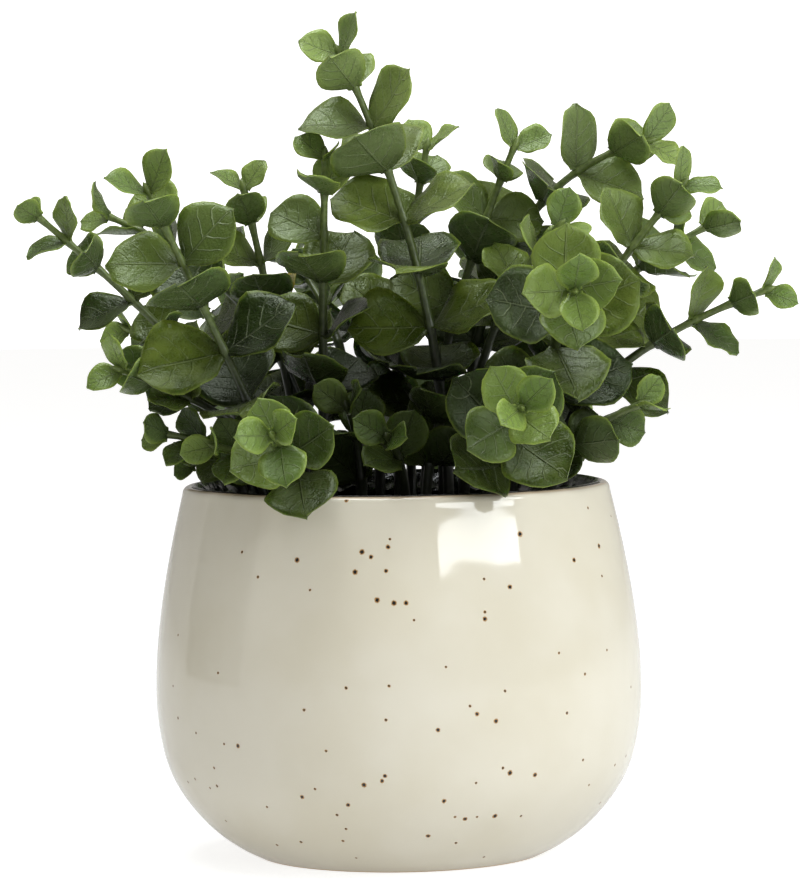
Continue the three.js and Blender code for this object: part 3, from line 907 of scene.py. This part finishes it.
def make_sprig(sprig, leaf_look, stem_look):
    seeds = [SPRIG_SEED, len(sprig["name"]), *(abs(int(v)) for v in sprig["tip"])]
    chance = np.random.default_rng(seeds)
    template, coordinates = leaf_faces(), leaf_coordinates()
    points, climbed, rings = fine_stem(sprig)
    faces = stem_faces(rings)
    stem_count = len(faces)
    shades = [shaded_at(points)]
    points = [points]
    youth = [climbed**2]
    blank = np.zeros(len(climbed))
    tints, unders, ochres, places = [blank], [blank], [blank], [np.zeros((len(climbed), 2))]
    ochre_pair = [leaf["number"] for leaf in sprig["leaves"] if leaf["pair"] == OCHRE_PAIR]
    turning = ochre_pair[:1] if sprig["name"] == OCHRE_SPRIG else []
    start = len(climbed)
    for leaf in sprig["leaves"]:
        blade = fine_leaf(leaf, chance)
        count = len(blade)
        faces += (template + start).tolist()
        start += count
        points.append(blade)
        shades.append(shaded_at(blade))
        youth.append(np.full(count, leaf["young"]))
        tints.append(np.full(count, chance.uniform(0, 1)))
        unders.append(np.repeat([0.0, 1.0], count // 2))
        ochres.append(np.full(count, float(leaf["number"] in turning)))
        places.append(coordinates)
    # The stem's faces come first and take the second material.
    kinds = np.ones(len(faces), int)
    kinds[stem_count:] = 0
    made = piece(
        f"leafy_{sprig['name']}", np.concatenate(points), faces, [leaf_look, stem_look],
        [f"sprig_{sprig['name']}"], kinds,
    )
    keep_values(made, "young", np.concatenate(youth))
    keep_values(made, "tint", np.concatenate(tints))
    keep_values(made, "under", np.concatenate(unders))
    keep_values(made, "ochre", np.concatenate(ochres))
    keep_values(made, "shaded", np.concatenate(shades))
    corners = np.empty(len(made.data.loops), int)
    made.data.loops.foreach_get("vertex_index", corners)
    layer = made.data.uv_layers.new(name="leaf")
    layer.data.foreach_set("uv", np.concatenate(places)[corners].ravel())


# ---- The pot and what it holds ----

def speckles(camera):
    """Centres on the pot and their sizes: those of the photograph, and others scattered behind."""
    found = []
    for pixels, size in ((LARGE_SPECKLES, LARGE_SPECKLE), (SMALL_SPECKLES, SMALL_SPECKLE)):
        for pixel in pixels:
            centre = where_on_pot(*sight(camera, pixel))
            if centre is not None:
                found.append((centre, size * RNG.uniform(*SPECKLE_VARIES)))
    for _ in range(SPECKLES_BEHIND):
        radius, height = outside(RNG.uniform(*BEHIND_SHARES))
        angle = RNG.uniform(*BEHIND_TURNS) * math.pi
        size = LARGE_SPECKLE if RNG.random() < LARGE_BEHIND else SMALL_SPECKLE
        centre = np.array([radius * math.cos(angle), radius * math.sin(angle), height])
        found.append((centre, size * RNG.uniform(*BEHIND_VARIES)))
    return np.array([centre for centre, _ in found]), np.array([size for _, size in found])


def make_pot(camera):
    profile = pot_profile()
    points = turned(profile, POT_ROUND)
    faces = closed_ends(grid(len(profile), POT_ROUND, closed=True), len(points), POT_ROUND)
    made = piece("pot_glazed", points, faces, [glaze_material()], ["pot"])
    centres, sizes = speckles(camera)
    middles = np.array([polygon.center for polygon in made.data.polygons]) / MM
    gaps = np.linalg.norm(middles[:, None] - centres[None], axis=2)
    order = np.argsort(gaps, axis=1)[:, :2]
    for rank, name in enumerate(("nearest", "second")):
        keep_values(made, name, centres[order[:, rank]] * MM, "FACE")
        keep_values(made, name + "_size", sizes[order[:, rank]] * MM, "FACE")


def crease(place, scale, seed):
    """Sharp folds: how far a point of a crumpled sheet is pushed out, from 0 to 1."""
    return abs(noise.noise(Vector(place) * scale + Vector((seed, 0, 0))))


def make_film():
    """A thin crumpled bag against the wall, drawn up on to the lip and folded back down inside."""
    deep = POT_WALL + FIT_GAP + FILM_OFF
    wall = [inwards(share, deep) for share in np.linspace(*FILM_SHARES, FILM_RINGS)]
    edge = [(LIP_MIDDLE + out, POT_HIGH + up) for out, up in FILM_ON_LIP + FILM_FOLDED]
    profile = [(FLAT_RINGS[0], POT_FLOOR + FIT_GAP)] + wall + edge
    points = turned(profile, FILM_ROUND)
    first_loose = len(profile) - len(FILM_FOLDED)
    for index, point in enumerate(points):
        row = index // FILM_ROUND
        loose = min(1, max(0, (row - first_loose + 1) / LOOSE_RINGS))
        out = unit(np.array([point[0], point[1], 0]))
        fold = sum(share * crease(point, scale, seed) for scale, seed, share in CRUMPLES)
        point -= out * loose * FOLD_DEEP * fold
        point[2] += loose * FOLD_RISE * (noise.noise(Vector(point) * FOLD_WAVES) - FOLD_SINK)
        if row > first_loose:
            point[2] = max(point[2], FILLING_TOP + OVER_CRUMBS)
    faces = grid(len(profile), FILM_ROUND, closed=True)
    made = piece("film_crumpled", points, faces, [film_material()], ["film_liner"])
    thick = made.modifiers.new("thickness", "SOLIDIFY")
    thick.thickness = FILM_SHEET * MM
    thick.offset = 0


def make_filling():
    """A crumbly plug with a rough top."""
    outer = POT_WALL + FIT_GAP + FILM_THICK + FIT_GAP
    sides = [inwards(share, outer) for share in np.linspace(*FILLING_SHARES, FILLING_RINGS)]
    edge = sides[-1][0]
    top = [(edge * share, FILLING_TOP) for share in np.linspace(*TOP_SHARES, TOP_RINGS)]
    profile = [(FLAT_RINGS[0], sides[0][1])] + sides + top
    points = turned(profile, FILLING_ROUND)
    for index, point in enumerate(points):
        if index // FILLING_ROUND > len(sides):
            lump = sum(high * noise.noise(Vector(point) * waves) for waves, high in CRUMBS)
            point[2] += min(lump, CRUMB_HIGH)
    faces = closed_ends(grid(len(profile), FILLING_ROUND, closed=True), len(points), FILLING_ROUND)
    piece("filling_crumbly", points, faces, [filling_material()], ["filling"])


# ---- The stage, in metres ----

FLOOR_REACH = 5.0
UNDER_FLOOR = -0.002
DOME_FOOT = -0.01
DOME_ROWS = 9
# How far short of straight up the dome ends, in radians.
DOME_OPEN = 0.02
STAGE_ROUND = 48
LIGHTS_AIM = (0, 0, 0.12)
# Each soft box: its place, width, height, power in watts and roll in degrees.
SOFT_BOXES = {
    "key": ((1.04, -1.12, 0.59), 1.23, 0.13, 4.4, -4),
    "right_fill": ((1.5, -0.9, 1.3), 1.0, 1.0, 21.5, 0),
    "top": ((-0.2, 0.1, 1.7), 0.9, 0.9, 20, 0),
}
LEFT_CARD = ((-1.0, 0.12, 0.45), 0.82, 1.0)
AROUND_GLOW = 0.43
FLOOR_GLOW = 0.78
UNDER_GLOW = 0.3
DOME_GLOW = 0.97
# The boxes are a little cooler than the light from all round.
COOL = (0.93, 0.97, 1)
WARM = (1, 0.975, 0.92, 1)
# The greys between which the surfaces of the stage vary.
WHITE_FLOOR = (0.4, 0.42)
PALE_FLOOR = (0.55, 0.57)
WHITE_DOME = (0.9, 0.92)
BLACK_CARD = (0.01, 0.02)


def facing(place, roll):
    """The turn of a light or card that looks from its place at the plant."""
    looking = (Vector(LIGHTS_AIM) - Vector(place)).to_track_quat("-Z", "Y")
    return (looking @ Quaternion((0, 0, 1), math.radians(roll))).to_euler()


def softbox(name, place, wide, high, power, roll):
    data = bpy.data.lights.new(name, "AREA")
    data.shape = "RECTANGLE"
    data.size = wide
    data.size_y = high
    data.energy = power
    data.color = COOL
    light = bpy.data.objects.new(name, data)
    light.location = place
    light.rotation_euler = facing(place, roll)
    bpy.context.scene.collection.objects.link(light)


def stage_mesh(name, points, faces, greys, glow=0.0):
    """A plain staged mesh that varies between two greys and may glow white."""
    mesh = bpy.data.meshes.new(name)
    mesh.from_pydata(points, [], faces)
    mesh.shade_smooth()
    look = Material(name, Roughness=0.95)
    dark, light = [(grey, grey, grey, 1) for grey in greys]
    look.set("Base Color", look.mix(look.noise(3), dark, light))
    look.shader.inputs["Emission Color"].default_value = (1, 1, 1, 1)
    look.shader.inputs["Emission Strength"].default_value = glow
    mesh.materials.append(look.made)
    made = bpy.data.objects.new(name, mesh)
    bpy.context.scene.collection.objects.link(made)
    return made


def only_for_camera(made):
    made.visible_diffuse = False
    made.visible_glossy = False
    made.visible_transmission = False
    made.visible_shadow = False


def make_floor():
    """A round white floor for the camera, over a pale one that throws the light back."""
    turns = np.linspace(0, 2 * math.pi, STAGE_ROUND, endpoint=False)
    ring = [(FLOOR_REACH * math.cos(turn), FLOOR_REACH * math.sin(turn)) for turn in turns]
    whole = [tuple(range(len(ring)))]
    seen = [(x, y, 0) for x, y in ring]
    only_for_camera(stage_mesh("floor", seen, whole, WHITE_FLOOR, FLOOR_GLOW))
    unseen = [(x, y, UNDER_FLOOR) for x, y in ring]
    under = stage_mesh("floor_under", unseen, whole, PALE_FLOOR, UNDER_GLOW)
    under.visible_camera = False


def make_backdrop():
    """A white dome all round that only the camera sees."""
    points = [
        (
            FLOOR_REACH * math.cos(low) * math.cos(turn),
            FLOOR_REACH * math.cos(low) * math.sin(turn),
            FLOOR_REACH * math.sin(low) + DOME_FOOT,
        )
        for low in np.linspace(0, math.pi / 2 - DOME_OPEN, DOME_ROWS)
        for turn in np.linspace(0, 2 * math.pi, STAGE_ROUND, endpoint=False)
    ]
    faces = grid(DOME_ROWS, STAGE_ROUND, closed=True)
    only_for_camera(stage_mesh("backdrop", points, faces, WHITE_DOME, DOME_GLOW))


def dark_card(name, place, wide, high):
    """A black card, unseen itself, that keeps light off one side."""
    points = [(x * wide / 2, y * high / 2, 0) for x, y in ((-1, -1), (1, -1), (1, 1), (-1, 1))]
    card = stage_mesh(name, points, [(0, 1, 2, 3)], BLACK_CARD)
    card.location = place
    card.rotation_euler = facing(place, 0)
    card.visible_camera = False


def make_lights():
    world = bpy.data.worlds.new("studio")
    world.use_nodes = True
    background = world.node_tree.nodes["Background"]
    background.inputs["Color"].default_value = WARM
    background.inputs["Strength"].default_value = AROUND_GLOW
    bpy.context.scene.world = world
    for name, measures in SOFT_BOXES.items():
        softbox(name, *measures)
    dark_card("left_card", *LEFT_CARD)


make_lights()
make_floor()
make_backdrop()
the_camera = make_camera()
make_pot(the_camera)
make_film()
make_filling()
leaf_look, stem_look = leaf_material(), stem_material()
for grown_sprig in grow():
    make_sprig(grown_sprig, leaf_look, stem_look)
bpy.context.scene.view_settings.view_transform = "Standard"
